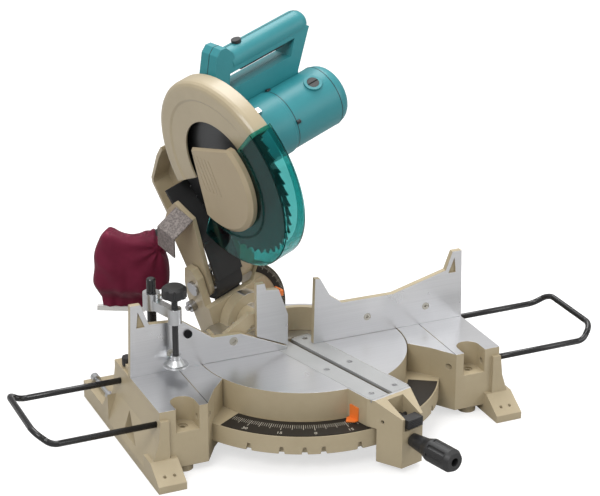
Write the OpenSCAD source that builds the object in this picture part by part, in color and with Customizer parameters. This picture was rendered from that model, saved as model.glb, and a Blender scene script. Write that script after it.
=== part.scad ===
// Compound mitre saw, shown at 15 degrees of mitre, 15 degrees of bevel and with the head raised.
// Millimetres. Z is up, the bench is Z = 0 and the turntable turns about the Z axis.
// The fence face is the plane Y = 0 and the operator stands on the -Y side.

/* [Shown pose] */
// Mitre angle shown, to the right
mitre_shown = 15; // [0:1:45]
// Bevel angle shown, to the left
bevel_shown = 15; // [0:1:30]
// Swing of the head from the cutting position to the raised one
chop_travel = 54.4; // [50:0.1:56]

/* [Base and table] */
// Height of the table top above the bench
table_height = 115; // [110:1:125]
// Half length of the table and fence
table_half = 298; // [292:1:310]
// Depth of the table in front of the fence
table_depth = 134; // [130:1:140]
// Radius of the turntable disc
disc_radius = 174; // [170:0.5:175]
// Radius of the ring that carries the mitre scale
ring_radius = 228; // [222:1:230]
// Depth of the scale below the table top
scale_drop = 50; // [46:1:52]
// Spacing of the bench bolts across
bolt_across = 504; // [490:1:510]
// Spacing of the bench bolts front to back
bolt_deep = 224; // [216:1:230]
// Bench bolt hole diameter
bolt_hole = 9; // [6:0.5:11]

/* [Fence] */
// Height of the fence horns
fence_height = 123; // [112:1:128]
// Thickness of the fence plate
fence_thick = 10; // [7:0.5:11]
// Inner radius of the bridge behind the kerf
bridge_radius = 64; // [60:1:66]
// Height of the bridge
bridge_height = 42; // [32:1:46]

/* [Blade and guards] */
// Blade diameter
blade_diameter = 305; // [295:1:306]
// Blade plate thickness
blade_thick = 2.4; // [1.8:0.1:3]
// Number of saw teeth
blade_teeth = 48; // [24:4:72]
// Blade bore diameter
blade_bore = 25.4; // [20:0.1:30]
// Outer radius of the blade case
case_radius = 160; // [158:0.5:161]
// Half width of the blade case
case_half = 16; // [14:0.5:17]
// Outer radius of the swinging guard
guard_radius = 165.5; // [164.5:0.5:167]

/* [Head and motor] */
// Head pivot distance behind the fence
pivot_back = 190; // [184:1:194]
// Head pivot height over the table top
pivot_up = 80; // [78:0.5:84]
// Distance from the head pivot to the blade axis
arm_length = 258.3; // [256:0.1:260]
// Centre distance of the gear pair
gear_gap = 42; // [41:0.1:43]
// Motor housing radius
motor_radius = 52; // [50:0.5:54]
// Right end of the motor over the blade plane
motor_end = 223; // [218:1:232]
// Grip bar radius of the handle
grip_radius = 21.5; // [20:0.5:22]

/* [Fits] */
// Radial clearance of turning fits
run_fit = 0.06; // [0.03:0.01:0.1]

/* [Hidden] */
$fn = 64;
cream = [0.80, 0.74, 0.58];
teal = [0.06, 0.42, 0.44];
dark = [0.07, 0.07, 0.08];
silver = [0.72, 0.73, 0.74];
orange = [0.95, 0.42, 0.08];
scale_level = table_height - scale_drop;
arm_angle = 66;
blade_back = pivot_back - arm_length * cos(arm_angle);
blade_up = pivot_up + arm_length * sin(arm_angle);
blade_radius = blade_diameter / 2;
motor_angle = 69;
cover_joint = 197;
case_from = 40;
case_to = 203;
guard_from = -121;
guard_to = 42;
gear_teeth = 32;
pinion_teeth = 10;
gear_module = 2 * gear_gap / (gear_teeth + pinion_teeth);
rod_level = table_height - 25;
rod_radius = 5;
fence_sink = 1;
post_radius = 7.5;
post_at = [52 - table_half, 36];
screw_at = post_at + [18, -58];
pivot_pin_radius = 9;
grip_level = table_height - 60;
grip_up = 476;
grip_half = grip_radius - 1;

// Frames: the turntable, the bevel frame on the table top, the blade axis, and the lowered head.
module turned() { rotate([0, 0, mitre_shown]) children(); }
module tilted() { turned() translate([0, 0, table_height]) rotate([0, -bevel_shown, 0]) children(); }
module at_blade() { tilted() translate([0, blade_back, blade_up]) children(); }
module at_motor() {
  at_blade() translate([0, -gear_gap * cos(motor_angle), gear_gap * sin(motor_angle)]) children();
}
module lowered() {
  tilted() translate([0, pivot_back, pivot_up]) rotate([-chop_travel, 0, 0])
    translate([0, -pivot_back, -pivot_up]) children();
}

// Plates and bars along one axis. A side plate is drawn as (back, up), a wall as (across, up).
module side_plate(from, to) { translate([from, 0, 0]) rotate([90, 0, 90]) linear_extrude(to - from) children(); }
module wall(from, to) { translate([0, to, 0]) rotate([90, 0, 0]) linear_extrude(to - from) children(); }
module bar_x(from, to, radius) { translate([from, 0, 0]) rotate([0, 90, 0]) cylinder(r = radius, h = to - from); }
module bar_y(from, to, radius) { translate([0, from, 0]) rotate([-90, 0, 0]) cylinder(r = radius, h = to - from); }
module box(x, y, z) { translate([x[0], y[0], z[0]]) cube([x[1] - x[0], y[1] - y[0], z[1] - z[0]]); }
module both_sides() {
  children();
  mirror([1, 0, 0]) children();
}
// A round bar between two points.
module link(a, b, radius) {
  d = b - a;
  turn = atan2(d[1], d[0]);
  lean = acos(d[2] / norm(d));
  translate(a) rotate([0, lean, turn]) cylinder(r = radius, h = norm(d));
}
// A sector about the blade axis; angles run up from the front.
module wedge(radius, from, to) {
  polygon(concat([[0, 0]], [for (i = [0:8]) let(a = from + (to - from) * i / 8) [-radius * cos(a), radius * sin(a)]]));
}
module spun() { rotate([0, 90, 0]) rotate_extrude() children(); }
module swept(from, to) {
  intersection() {
    spun() children();
    side_plate(-60, 60) wedge(400, from, to);
  }
}

// Base: side blocks, feet, front ring, spokes and hub.
module block_plan() {
  difference() {
    polygon([[table_half, -table_depth], [218, -table_depth], [192, -93], [165, -62], [120, -62], [120, 15],
      [178, 15], [215, 55], [215, 78], [table_half, 78]]);
    circle(r = disc_radius + 2);
  }
}
module base_casting() {
  color(cream) difference() {
    union() {
      both_sides() {
        translate([0, 0, 14]) linear_extrude(table_height - 14) block_plan();
        side_plate(272, table_half + 20) polygon([[-180, 0], [-180, 12], [-142, 36], [-110, 36], [-110, 0]]);
        side_plate(236, table_half + 20) polygon([[60, 0], [60, 62], [90, 30], [190, 30], [190, 0]]);
        wall(-140, 78) polygon([[table_half - 14, 0], [table_half + 20, 0], [table_half + 20, 14],
          [table_half + 4, 66], [table_half, table_height - 14], [table_half - 14, table_height - 14]]);
        translate([bolt_across / 2, -bolt_deep / 2, 0]) cylinder(r = 15, h = 20);
      }
      translate([0, 0, scale_level - 30]) linear_extrude(30) intersection() {
        difference() {
          circle(r = ring_radius);
          circle(r = disc_radius - 26);
        }
        translate([-300, -300]) square([600, 262]);
      }
      for (a = [15, 90, 165]) rotate([0, 0, -a]) box([0, disc_radius - 20], [-13, 13], [scale_level - 27, scale_level - 10]);
      translate([0, 0, scale_level - 36]) cylinder(r = 32, h = 36);
    }
    both_sides() {
      box([198, table_half - 10], [-84, 20], [-1, table_height - 12]);
      translate([251.5, -112, table_height - 41]) cylinder(r = 19.5, h = 42);
      box([232, 271], [-table_depth - 1, -112], [table_height - 41, table_height + 1]);
      for (y = [-1, 1]) translate([bolt_across / 2, y * bolt_deep / 2, -1]) cylinder(d = bolt_hole, h = table_height - 20);
      translate([0, -122, rod_level]) bar_x(208, table_half + 30, rod_radius + run_fit);
      translate([0, 47, rod_level]) bar_x(190, table_half + 30, rod_radius + run_fit);
      translate([table_half - 13, 47, rod_level]) cylinder(r = 3 + run_fit, h = 40);
      for (x = [287, 303]) translate([x, -166, -1]) cylinder(r = 2.5, h = 40);
      side_plate(table_half - 30, table_half + 30) polygon([[-64, 26], [-6, 26], [-6, 62]]);
      box([216.4, 217.6], [-93, -14], [table_height - 1, table_height + 1]);
      translate([bolt_across / 2, -bolt_deep / 2, table_height - 44]) cylinder(r = 8, h = 10);
    }
    both_sides() {
      translate([post_at[0], post_at[1], table_height - 18]) cylinder(r = post_radius + run_fit, h = 30);
      box([150, table_half + 1], [0, 80], [table_height - fence_sink - 0.02, table_height + 1]);
    }
    for (a = [-45, -31.6, -22.5, -15, 0, 15, 22.5, 31.6, 45]) rotate([0, 0, a])
      wall(-ring_radius - 2, -ring_radius + 7) polygon([[-5, scale_level - 31], [5, scale_level - 31],
        [2.5, scale_level - 18], [-2.5, scale_level - 18]]);
    translate([0, 0, scale_level - 60]) cylinder(r = 8 + run_fit, h = 90);
  }
}
module mitre_scale() {
  color(dark) translate([0, 0, scale_level]) linear_extrude(1.2) intersection() {
    difference() {
      circle(r = ring_radius - 2);
      circle(r = disc_radius + 4);
    }
    rotate(-90) polygon(concat([[0, 0]], [for (a = [-58:14.5:58]) 400 * [cos(a), sin(a)]]));
  }
}

// Fence: two machined faces joined by a bridge behind the kerf.
module guide_fence() {
  color(cream) translate([0, 0, table_height]) difference() {
    union() {
      wall(0, fence_thick) polygon([[4 - table_half, fence_height], [21 - table_half, fence_height], [34 - table_half, 87],
        [88 - table_half, 83], [-156, 44], [-107, 42], [-26, 5], [-26, 0], [-table_half, 0]]);
      wall(0, fence_thick) polygon([[22, 0], [25, fence_height - 8], [34, fence_height - 9], [52, 81], [73, 65],
        [167, 64], [table_half - 32, 90], [table_half - 20, fence_height - 1], [table_half - 3, fence_height - 1],
        [table_half, 0]]);
      both_sides() {
        box([62, table_half - 4], [fence_thick, 34], [0, 9]);
        for (x = [150, 200, 262]) wall(fence_thick, 30) polygon([[x, 0], [x + 7, 0], [x + 7, 46], [x, 46]]);
      }
      linear_extrude(bridge_height) intersection() {
        difference() {
          circle(r = bridge_radius + 9);
          circle(r = bridge_radius);
        }
        translate([-100, 13]) square([200, 100]);
      }
      both_sides() {
        translate([post_at[0], post_at[1], 0]) cylinder(r = 14, h = 46);
        box([182, table_half - 4], [1, 34], [-fence_sink, 1]);
      }
    }
    both_sides() wall(-1, fence_thick + 1) polygon([[table_half - 16, 111], [table_half - 13, 84],
      [table_half - 27, 84]]);
    for (x = [-229, 120, 229]) translate([x, 0, 31]) {
      bar_y(-1, 5, 6.4);
      bar_y(-1, fence_thick + 40, 3 + run_fit);
    }
    translate([-120, 0, 31]) {
      bar_y(-1, 5, 7.4);
      bar_y(-1, fence_thick + 1, 5 + run_fit);
    }
    translate([-199, 0, 59]) bar_y(-1, fence_thick + 1, 4 + run_fit);
    both_sides() translate([post_at[0], post_at[1], -5]) cylinder(r = post_radius + run_fit, h = 60);
  }
}
module socket_screw(head, shank, length) {
  difference() {
    union() {
      bar_y(0.4, 4.8, head);
      bar_y(4.8, length, shank);
    }
    translate([0, 3, 0]) rotate([90, 0, 0]) linear_extrude(4) circle(r = shank, $fn = 6);
  }
}
module fence_bolts() {
  color(silver) translate([0, 0, table_height]) {
    for (x = [-229, 120, 229]) translate([x, 0, 31]) socket_screw(6, 3, 14);
    translate([-120, 0, 31]) {
      socket_screw(7, 5, fence_thick + 11);
      bar_y(fence_thick + 11, fence_thick + 15, 8);
    }
    translate([-199, 0, 59]) {
      bar_y(-3, -0.01, 7);
      bar_y(-0.01, fence_thick + 4, 4);
    }
  }
}
module pivot_bolt() {
  color(silver) {
    translate([0, 0, scale_level - 44]) linear_extrude(8) circle(r = 14, $fn = 6);
    translate([0, 0, scale_level - 36]) cylinder(r = 8, h = 58);
  }
}
module hex_wrench() {
  color(silver) translate([-table_half - 3, 0, 37.3]) {
    bar_y(100, 176, 3.5);
    bar_y(92, 106, 7);
    bar_y(168, 182, 7);
  }
}
module lock_screw() {
  translate([0, 0, rod_level + rod_radius + 0.4]) cylinder(r = 3, h = table_height - rod_level);
  difference() {
    translate([0, 0, table_height + 1]) cylinder(r = 10, h = 14);
    for (a = [0:36:324]) rotate([0, 0, a]) translate([11, 0, table_height]) cylinder(r = 2, h = 20);
  }
}
module left_lock_screw() { color(dark) translate([13 - table_half, 47, 0]) lock_screw(); }
module right_lock_screw() { color(dark) translate([table_half - 13, 47, 0]) lock_screw(); }

// Long workpiece holders: one bent bar each side, pushed into the base.
module bent_bar(points, radius, knuckle = 1.12) {
  for (i = [0:len(points) - 2]) link(points[i], points[i + 1], radius);
  for (i = [1:len(points) - 2]) translate(points[i]) sphere(r = radius * knuckle);
}
module holder_bar() {
  top = table_height - rod_radius - 1;
  mid = -37.5;
  link([490, mid - 60, top], [490, mid + 60, top], rod_radius);
  for (s = [-1, 1]) {
    translate([490, mid + s * 60, top]) sphere(r = rod_radius * 1.25);
    link([450, mid + s * 84.5, rod_level], [490, mid + s * 60, top], rod_radius);
    translate([450, mid + s * 84.5, rod_level]) rotate([0, 0, s * 90]) sphere(r = rod_radius * 1.25);
    link([s < 0 ? 276 : 250, mid + s * 84.5, rod_level], [450, mid + s * 84.5, rod_level], rod_radius);
  }
}
module left_holder() { color(dark) mirror([1, 0, 0]) holder_bar(); }
module right_holder() { color(dark) holder_bar(); }

// Swinging fence plate over the low tip of the left fence.
module pivot_fence() {
  color(cream) translate([0, 0, table_height]) difference() {
    union() {
      wall(0, fence_thick) polygon([[-79, fence_height], [-65, fence_height], [-62, fence_height - 12],
        [-40, fence_height - 15], [-24, 62], [-24, 7], [-79, 31.5]]);
      wall(fence_thick + 0.6, fence_thick + 10) polygon([[-132, 22], [-132, 40], [-90, 68], [-42, 70], [-42, 50],
        [-84, 48], [-108, 22]]);
      wall(fence_thick, fence_thick + 0.6) polygon([[-78, 66], [-42, 66], [-42, 52], [-78, 52]]);
    }
    translate([-120, 0, 31]) bar_y(0, 60, 5 + run_fit);
  }
}

// Vise: a post in the base, an arm on it, a screw with a knob and a swivel pad.
module vise_post() {
  color(dark) translate([post_at[0], post_at[1], table_height - 18]) {
    cylinder(r = post_radius, h = 166);
    translate([0, 0, 166]) cylinder(r1 = post_radius, r2 = post_radius - 1.5, h = 2);
  }
}
module vise_arm() {
  reach = screw_at - post_at;
  turn = atan2(reach[1], reach[0]);
  color(silver) translate([0, 0, table_height + 98]) difference() {
    union() {
      translate([post_at[0], post_at[1], 0]) {
        cylinder(r = 14, h = 28);
        rotate([0, 0, turn]) box([8, norm(reach)], [-7, 7], [2, 18]);
        translate([0, 0, 14]) rotate([0, 0, turn + 90]) bar_x(10, 22, 5);
      }
      translate([screw_at[0], screw_at[1], -6]) cylinder(r = 11, h = 26);
    }
    translate([post_at[0], post_at[1], -16]) cylinder(r = post_radius + run_fit, h = 60);
    translate([screw_at[0], screw_at[1], -16]) cylinder(r = 5 + run_fit, h = 60);
  }
}
module vise_pad() {
  color(silver) translate([screw_at[0], screw_at[1], table_height + 18]) difference() {
    union() {
      cylinder(r = 20, h = 3);
      translate([0, 0, 3]) cylinder(r1 = 15, r2 = 8.5, h = 8);
      translate([0, 0, 11]) cylinder(r = 8.5, h = 8);
    }
    translate([0, 0, 8]) cylinder(r = 5 + run_fit, h = 30);
  }
}
module vise_screw() {
  color(dark) translate([screw_at[0], screw_at[1], table_height]) {
    translate([0, 0, 26.4]) cylinder(r = 5, h = 114);
    difference() {
      union() {
        translate([0, 0, 138]) cylinder(r = 20, h = 14);
        translate([0, 0, 152]) cylinder(r1 = 20, r2 = 15, h = 4);
        translate([0, 0, 132]) cylinder(r1 = 9, r2 = 18, h = 6);
      }
      for (a = [0:36:324]) rotate([0, 0, a]) translate([21.5, 0, 132]) cylinder(r = 3.2, h = 30);
    }
  }
}

// Turntable: disc, front arm with its nose, and the rear stand of the bevel joint.
module nose_plan(from) { polygon([[-42, from], [-42, -215], [-21, -276], [21, -276], [42, -215], [42, from]]); }
module turn_base() {
  top = table_height - 0.3;
  color(cream) turned() difference() {
    union() {
      translate([0, 0, scale_level + 0.3]) cylinder(r = disc_radius, h = top - scale_level - 0.3);
      translate([0, 0, scale_level + 2]) linear_extrude(top - scale_level - 2) nose_plan(-120);
      translate([0, 0, 10]) linear_extrude(scale_level) intersection() {
        nose_plan(-120);
        translate([-60, -300]) square([120, 300 - ring_radius - 4]);
      }
      translate([0, 0, table_height]) bar_y(138, 160, 48);
      translate([0, 0, table_height]) bar_y(100, 140, 30);
      box([-40, 40], [98, 150], [scale_level + 1, table_height + 4]);
    }
    difference() {
      translate([0, 0, scale_level - 1]) cylinder(r = disc_radius - 24, h = scale_drop - 13);
      cylinder(r = 30, h = 300);
      box([-200, 200], [-6, 6], [0, 300]);
      box([-60, -46], [-200, 200], [0, 300]);
      box([46, 60], [-200, 200], [0, 300]);
      box([-40, 40], [98, 200], [0, 300]);
    }
    box([-39.8, 39.8], [-223.3, 33.3], [top - 5, top + 1]);
    box([-11, 11], [-214, 36], [top - 25, top + 1]);
    side_plate(-60, 60) polygon([[-228, top], [-290, top - 26], [-290, top + 10], [-228, top + 10]]);
    box([-16, 16], [-270, -234], [top - 42, top + 1]);
    box([-16, 16], [-290, -262], [top - 42, top + 1]);
    translate([0, 0, grip_level]) bar_y(-290, -200, 6 + run_fit);
    translate([0, -242, top - 33]) bar_x(-60, 60, 3 + run_fit);
    cylinder(r = 8 + run_fit, h = scale_level + 24);
    translate([0, 0, table_height]) bar_y(80, 170, 8 + run_fit);
    box([-200, 200], [160, 200], [0, table_height + 60]);
    box([-15, 15], [84, 98], [top - 16, top + 1]);
    for (s = [-1, 1], y = [-205, -95, 20]) translate([s * 24, y, top - 20]) cylinder(r = 2 + run_fit, h = 30);
  }
}
module kerf_board() {
  top = table_height - 0.3;
  difference() {
    box([4.5, 39.5], [-223, 33], [top - 4.95, top]);
    for (y = [-205, -95, 20]) translate([24, y, top - 10]) {
      cylinder(r = 2.3, h = 30);
      translate([0, 0, 7.4]) cylinder(r = 4.6, h = 10);
    }
  }
}
module kerf_board_left() { color([0.75, 0.76, 0.76]) turned() mirror([1, 0, 0]) kerf_board(); }
module kerf_board_right() { color([0.75, 0.76, 0.76]) turned() kerf_board(); }
module kerf_screws() {
  top = table_height - 0.3;
  color(dark) turned() for (s = [-1, 1], y = [-205, -95, 20]) translate([s * 24, y, top - 12]) difference() {
    union() {
      cylinder(r = 2, h = 9.5);
      translate([0, 0, 9.42]) cylinder(r = 4.3, h = 2.2);
    }
    translate([-5, -0.6, 10.8]) cube([10, 1.2, 2]);
  }
}
module mitre_pointer() {
  color(orange) turned() {
    box([-44, -42], [-196, -176], [scale_level + 4, table_height - 24]);
    translate([0, 0, scale_level + 3]) linear_extrude(2) polygon([[-42, -196], [-42, -176], [-50, -176], [-60, -186], [-50, -196]]);
  }
}
module bevel_pointer() {
  color(orange) turned() translate([0, 0, table_height]) {
    box([22, 70], [135.5, 138], [26, 36]);
    box([67, 70], [136, 157], [26, 36]);
  }
}
module bevel_bolt() {
  color(silver) turned() translate([0, 0, table_height]) {
    translate([0, 97.9, 0]) rotate([90, 0, 0]) linear_extrude(8) circle(r = 13, $fn = 6);
    bar_y(97.8, 200, 8);
  }
}
module lock_grip() {
  color(dark) turned() translate([0, -278, grip_level]) rotate([90, 0, 0]) difference() {
    union() {
      cylinder(r1 = 11, r2 = 14, h = 30);
      translate([0, 0, 30]) cylinder(r1 = 14, r2 = 19, h = 14);
      translate([0, 0, 44]) cylinder(r = 19, h = 44);
      translate([0, 0, 88]) cylinder(r1 = 19, r2 = 15, h = 7);
    }
    for (a = [0:45:315]) rotate([0, 0, a]) translate([20.5, 0, 48]) cylinder(r = 3.5, h = 36);
    translate([0, 0, -1]) cylinder(r = 6, h = 16);
    translate([0, 0, 82]) cylinder(r = 7, h = 20);
  }
}
module lock_rod() { color(silver) turned() translate([0, 0, grip_level]) bar_y(-292.4, -ring_radius - 0.5, 5.95); }
module lock_lever() {
  top = table_height - 0.3;
  color(dark) turned() {
    difference() {
      box([-15, 15], [-283, -264], [top - 36, top - 21]);
      for (z = [24:3:33]) box([-12, 12], [-284, -281.5], [top - z - 1, top - z]);
    }
    box([-7, 7], [-266, -238], [top - 37, top - 29]);
    translate([0, -242, top - 33]) bar_x(-30, 30, 3);
  }
}

// Bevel frame: plate on the stand, two cheeks for the head pivot, scale ear.
module ear(inner, outer, from, to) {
  wall(from, to) intersection() {
    difference() {
      circle(r = outer);
      circle(r = inner);
    }
    polygon(concat([[0, 0]], [for (a = [-20:12:52]) 300 * [cos(a), sin(a)]]));
  }
}
module arm_holder() {
  color(cream) tilted() difference() {
    union() {
      bar_y(160.4, 172, 48);
      box([-60, 60], [160.4, 172], [-18, 48]);
      ear(50, 95, 162, 170);
      both_sides() side_plate(46, 60) polygon([[171, -18], [171, 48], [174, 100], [184, 116], [203, 116], [216, 84],
        [220, 50], [206, -18]]);
    }
    bar_y(150, 180, 8 + run_fit);
    translate([0, pivot_back, pivot_up]) bar_x(-80, 80, pivot_pin_radius + 0.02);
  }
}
module bevel_scale() { color(dark) tilted() ear(78, 94, 160.6, 161.98); }
module pivot_shaft() {
  color(silver) tilted() translate([0, pivot_back, pivot_up]) {
    bar_x(-62, 62, pivot_pin_radius);
    bar_x(-65, -60.2, 13);
    bar_x(60.2, 65, 13);
  }
}
module stop_pin() {
  color(silver) tilted() translate([0, 206, 40]) {
    bar_x(-70, -60, 10);
    bar_x(-76, -70, 5);
  }
}
module bevel_lever() {
  color(dark) tilted() difference() {
    union() {
      bar_y(172.4, 192, 15);
      link([0, 184, -8], [25, 203, -74], 6);
      translate([25, 203, -74]) sphere(r = 9);
    }
    bar_y(160, 210, 8 + run_fit);
  }
}

// Head: blade case, arm to the pivot, housings and handle.
module blade_case() {
  color(cream) at_blade() difference() {
    union() {
      swept(case_from, case_to) polygon([[90, 2 - case_half], [126, 2 - case_half], [130, -case_half],
        [case_radius - 12, -case_half], [case_radius - 7.4, 0.9 - case_half], [case_radius - 3.5, 3.5 - case_half],
        [case_radius - 0.9, 7.4 - case_half], [case_radius, 12 - case_half],
        [case_radius, case_half], [0, case_half], [0, case_half - 3], [case_radius - 3, case_half - 3],
        [case_radius - 3, 7.2 - case_half], [case_radius - 7.2, 3 - case_half], [131, 3 - case_half],
        [127, 5 - case_half], [90, 5 - case_half]]);
      bar_x(case_half - 3, case_half, 46);
    }
    bar_x(0, 40, 20.5);
  }
}
module saw_arm() {
  color(cream) difference() {
    union() {
      lowered() side_plate(20, 44) polygon([[206, 62], [176, 56], [120, 72], [60, 98], [20, 117], [-40, 123],
        [-40, 205], [40, 190], [110, 160], [190, 109], [216, 86]]);
      intersection() {
        lowered() side_plate(case_half, 20.1) polygon([[80, 92], [20, 117], [-40, 123], [-40, 205], [40, 190], [80, 175]]);
        at_blade() bar_x(0, 60, 142);
      }
      tilted() translate([0, pivot_back, pivot_up]) {
        bar_x(-44, -36, 25);
        bar_x(-37, 19, 15);
        bar_x(18, 44, 26);
      }
      tilted() side_plate(-44, -36) polygon([[214, 74], [166, 78], [164, 216], [206, 236], [236, 212], [252, 190], [226, 104]]);
      tilted() side_plate(19.2, 24) polygon([[185, 285], [196, 200], [268, 178], [296, 170], [316, 225], [314, 236],
        [276, 291], [256, 312], [212, 318]]);
      difference() {
        tilted() side_plate(-14, 19.3) difference() {
          polygon([[236, 316], [256, 312], [276, 291], [314, 236], [316, 225], [296, 170], [268, 178], [236, 262]]);
          polygon([[230, 310], [254, 306], [271, 287], [308.5, 234], [310, 226], [292, 177], [266, 184], [230, 262]]);
        }
        at_blade() bar_x(-60, 60, 168.5);
      }
    }
    at_blade() bar_x(0, 100, 40.1);
    at_motor() bar_x(0, 200, motor_radius + 2.1);
    tilted() translate([0, pivot_back, pivot_up]) bar_x(-80, 80, pivot_pin_radius + run_fit);
  }
}
module housing_ears(from, to, radius) {
  for (a = [62, 152, 242, 332]) rotate([90 - a, 0, 0]) translate([0, 0, motor_radius - 8.4]) bar_x(from, to, radius);
}
module gear_housing() {
  color(teal) difference() {
    union() {
      at_blade() bar_x(case_half, 62, 40);
      at_motor() {
        bar_x(20, 98, motor_radius + 2);
        bar_x(98, 105, motor_radius);
      }
    }
    difference() {
      union() {
        at_blade() bar_x(30, 54, 36);
        at_motor() bar_x(24, 106, motor_radius - 3.5);
      }
      at_motor() bar_x(64, 74, motor_radius);
      at_motor() housing_ears(88, 107, 6.4);
    }
    at_blade() bar_x(0, 40, 20);
    at_motor() bar_x(50, 90, 13);
    at_motor() housing_ears(80, 110, 2.5);
    at_motor() rotate([90 - 62, 0, 0]) box([46, 58], [-5.06, 5.06], [40, 70]);
  }
}
module motor_housing() {
  color(teal) at_motor() difference() {
    union() {
      bar_x(105, cover_joint, motor_radius);
      for (a = [60, 240]) rotate([90 - a, 0, 0]) translate([168, 0, motor_radius - 8]) cylinder(r = 15, h = 11);
    }
    difference() {
      bar_x(100, 210, motor_radius - 3.5);
      housing_ears(99, 116, 6.4);
    }
    housing_ears(100, 120, 2.5);
    for (a = [60, 240]) rotate([90 - a, 0, 0]) translate([168, 0, 0]) cylinder(r = 10 + run_fit, h = 90);
  }
}
function dome(radius, depth) = [for (t = [0:10:90]) [radius * pow(cos(t), 0.5), cover_joint + depth * sin(t)]];
module motor_end_cover() {
  color(teal) at_motor() difference() {
    union() {
      difference() {
        spun() polygon(concat([[0, cover_joint]], dome(motor_radius - 0.6, motor_end - cover_joint)));
        spun() polygon(concat([[0, cover_joint - 1], [motor_radius - 4, cover_joint - 1]],
          dome(motor_radius - 4, motor_end - cover_joint - 4)));
      }
      bar_x(motor_end - 16, motor_end - 3, 13);
    }
    bar_x(motor_end - 20, motor_end - 5, 9);
    for (a = [0:30:330]) rotate([a, 0, 0]) box([motor_end - 14, motor_end + 1], [-2, 2], [18, 28]);
  }
}
module handle_plan() {
  difference() {
    polygon([[17, 400], [17, 440], [20, 468], [34, 500], [44, 508], [54, 507], [64, 494], [66, grip_up], [204, grip_up],
      [217, 470], [177, 408], [168, 372], [46, 372], [46, 400]]);
    polygon([[50, 437], [44, 445], [50, 463], [184, 463], [170, 437]]);
  }
}
module handle_body() {
  difference() {
    union() {
      tilted() wall(110 - grip_half, 110 + grip_half) handle_plan();
      tilted() translate([0, 110, grip_up]) difference() {
        union() {
          bar_x(60, 202, grip_radius);
          translate([202, 0, 0]) sphere(r = grip_radius);
        }
        box([50, 184], [-30, 30], [-30, 463 - grip_up]);
      }
    }
    tilted() translate([0, 110, grip_up]) bar_x(70, 200, 12);
    at_motor() bar_x(-10, 98.5, motor_radius + 2.05);
    at_motor() bar_x(98, 300, motor_radius + 0.1);
    tilted() box([73.6, 172.4], [102.6, 117.4], [450, 474]);
    tilted() translate([88, 110, grip_up]) cylinder(r = 8 + run_fit, h = 60);
    tilted() box([-50, 17], [60, 160], [300, 476]);
  }
}
module handle_front() { color(teal) intersection() { handle_body(); tilted() box([-50, 300], [60, 109.8], [300, 600]); } }
module handle_rear() { color(teal) intersection() { handle_body(); tilted() box([-50, 300], [110.2, 160], [300, 600]); } }
module trigger() {
  color(dark) tilted() wall(103, 117) polygon([[74, 470], [74, 458], [80, 453], [166, 453], [172, 458], [172, 470]]);
}
module lock_button() { color(dark) tilted() translate([88, 110, grip_up + 5]) cylinder(r = 8, h = 21); }
module housing_screws() {
  color(silver) at_motor() {
    housing_ears(90, 116.2, 2.45);
    housing_ears(116.04, 119, 4.6);
  }
}
module brush_caps() {
  color(dark) at_motor() for (a = [60, 240]) rotate([90 - a, 0, 0]) translate([168, 0, 0]) difference() {
    translate([0, 0, motor_radius - 3]) cylinder(r = 10, h = 6);
    translate([-12, -1.2, motor_radius + 1.6]) cube([24, 2.4, 4]);
  }
}
module stator() {
  color([0.35, 0.35, 0.36]) at_motor() difference() {
    bar_x(122, 158, motor_radius - 3.56);
    bar_x(110, 200, 31);
  }
}
module bearings() {
  color(silver) {
    at_blade() difference() {
      bar_x(17, 29.5, 19.95);
      bar_x(10, 40, 12.05);
    }
    at_motor() difference() {
      union() {
        bar_x(65, 73, 12.95);
        bar_x(motor_end - 14, motor_end - 6, 8.95);
      }
      bar_x(10, 300, 5.05);
    }
  }
}

// Gear pair: involute teeth.
function flank(base, turn) = base * [cos(turn) + turn * PI / 180 * sin(turn), sin(turn) - turn * PI / 180 * cos(turn)];
function spin(p, a) = [p[0] * cos(a) - p[1] * sin(a), p[0] * sin(a) + p[1] * cos(a)];
module gear_plan(teeth, slack) {
  pitch = gear_module * teeth / 2;
  base = pitch * cos(20);
  tip = pitch + gear_module * 0.9;
  root = pitch - gear_module * 1.15;
  half = 90 / teeth - slack / pitch * 90 / PI + (tan(20) * 180 / PI - 20);
  ends = [for (i = [0:3]) sqrt(pow(max(base, root) + (tip - max(base, root)) * i / 3, 2) / base / base - 1) * 180 / PI];
  polygon([for (t = [0:teeth - 1], k = [0:9]) let(
    i = k < 5 ? k - 1 : 8 - k,
    side = k < 5 ? -1 : 1,
    f = i < 0 ? [root, 0] : flank(base, ends[i]),
    p = spin(f, -half))
    spin(side < 0 ? p : [p[0], -p[1]], t * 360 / teeth)]);
}
module spindle() {
  color(silver) at_blade() difference() {
    union() {
      bar_x(-5, 9, blade_bore / 2 - 0.05);
      bar_x(9, 52, 12);
      side_plate(36, 50) rotate(180 - motor_angle) gear_plan(gear_teeth, 0.2);
    }
    bar_x(-10, 24, 5.06);
  }
}
module armature() {
  color([0.6, 0.45, 0.3]) at_motor() {
    bar_x(34, motor_end - 5.5, 5);
    rotate([180 - motor_angle, 0, 0]) side_plate(36, 50) rotate(180 / pinion_teeth) gear_plan(pinion_teeth, 0.2);
    bar_x(122, 158, 30);
    bar_x(162, 182, 15);
    difference() {
      bar_x(104, 112, 35);
      for (a = [0:30:330]) rotate([a, 0, 0]) box([100, 109], [-6, 6], [18, 60]);
    }
  }
}
module saw_blade() {
  step = 360 / blade_teeth;
  color([0.25, 0.25, 0.27]) at_blade() side_plate(-blade_thick / 2, blade_thick / 2) difference() {
    polygon([for (t = [0:blade_teeth - 1], k = [0:2]) let(a = (t + [0, 0.12, 0.55][k]) * step)
      (blade_radius - [0, 8, 6][k]) * [cos(a), sin(a)]]);
    circle(d = blade_bore);
  }
}
module inner_flange() {
  color(silver) at_blade() difference() {
    bar_x(blade_thick / 2, 9, 30);
    bar_x(0, 20, blade_bore / 2);
  }
}
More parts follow.
